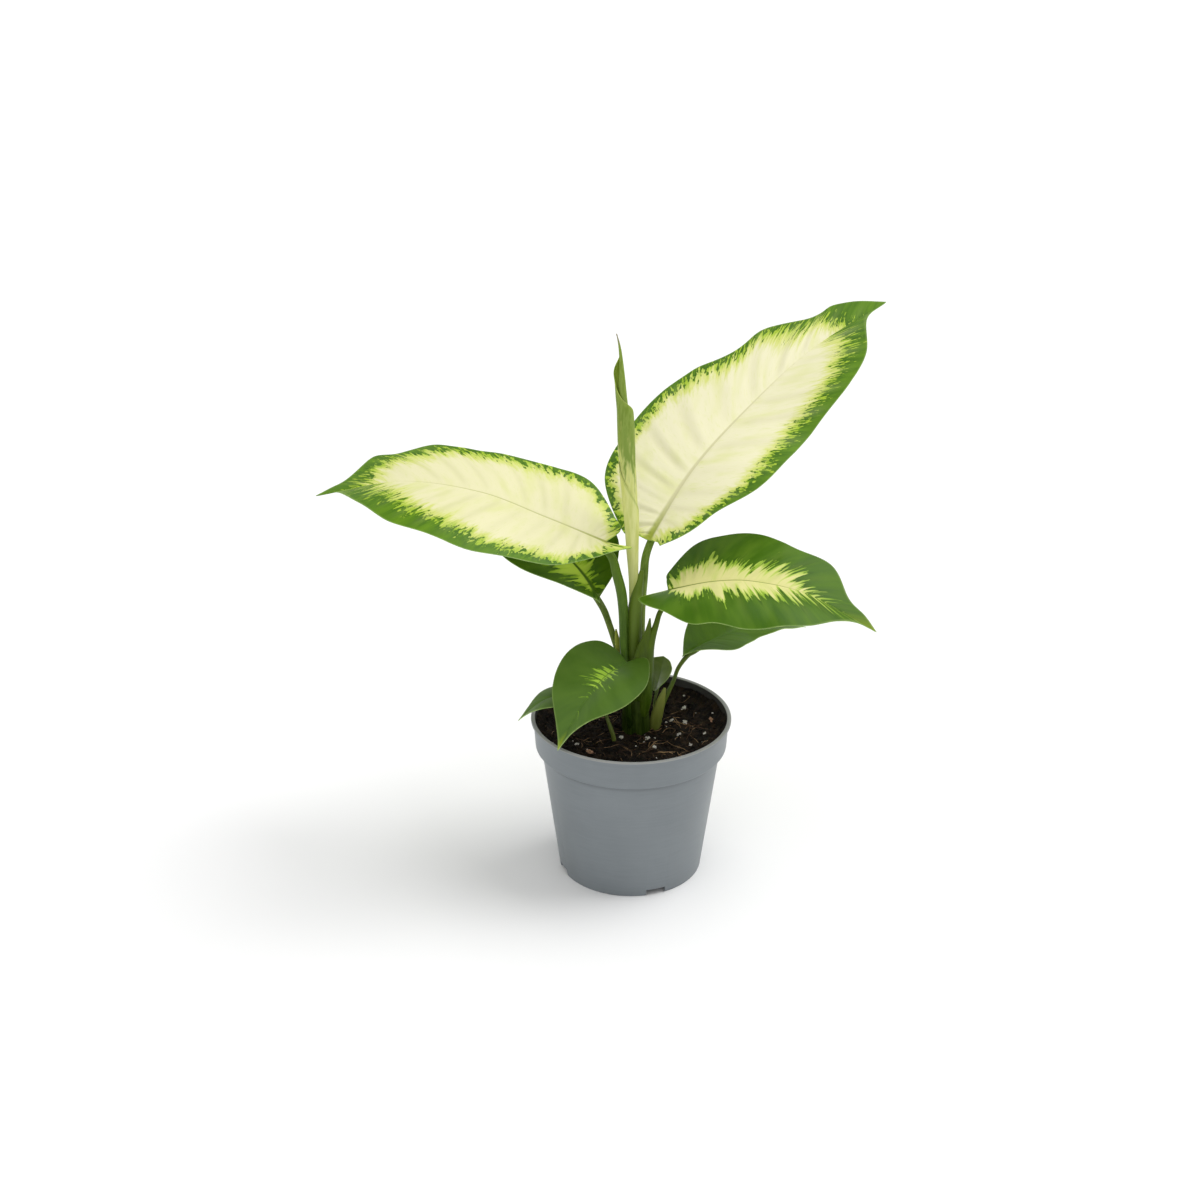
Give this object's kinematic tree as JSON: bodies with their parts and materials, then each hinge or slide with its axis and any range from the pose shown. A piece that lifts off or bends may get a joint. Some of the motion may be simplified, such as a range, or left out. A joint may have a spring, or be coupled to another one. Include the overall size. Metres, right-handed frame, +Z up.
{
  "type": "potted dieffenbachia",
  "caption": "Young variegated house plant with broad arching leaves and one rolled new leaf, growing in soil in a round tapered plastic nursery pot.",
  "frame": {"origin": "centre of the pot's underside, on the surface that it stands on", "axes": "+Z up along the pot's axis, -Y towards the front, +X to the right seen from the front"},
  "size_m": [0.3422, 0.1972, 0.3311],
  "materials": {
    "pot_plastic": "satin",
    "potting_soil": "matte",
    "perlite": "matte",
    "bark": "matte",
    "stem_green": "satin",
    "leaf_green": "satin",
    "leaf_variegated": "satin"
  },
  "bodies": {
    "root": {"pot": "pot_plastic", "soil": "potting_soil", "stem": "stem_green", "leaf_upper_right": "leaf_variegated", "leaf_upper_left": "leaf_variegated", "leaf_right": "leaf_green", "leaf_back_left": "leaf_green", "leaf_front": "leaf_green", "leaf_lower_right": "leaf_green", "leaf_small_back": "leaf_green", "leaf_low_left": "leaf_green", "new_leaf": "leaf_variegated", "perlite_grain_1": "perlite", "perlite_grain_2": "perlite", "perlite_grain_3": "perlite", "perlite_grain_4": "perlite", "perlite_grain_5": "perlite", "perlite_grain_6": "perlite", "perlite_grain_7": "perlite", "perlite_grain_8": "perlite", "perlite_grain_9": "perlite", "perlite_grain_10": "perlite", "bark_chip_1": "bark", "bark_chip_2": "bark", "bark_chip_3": "bark", "bark_chip_4": "bark"}
  },
  "joints": []
}
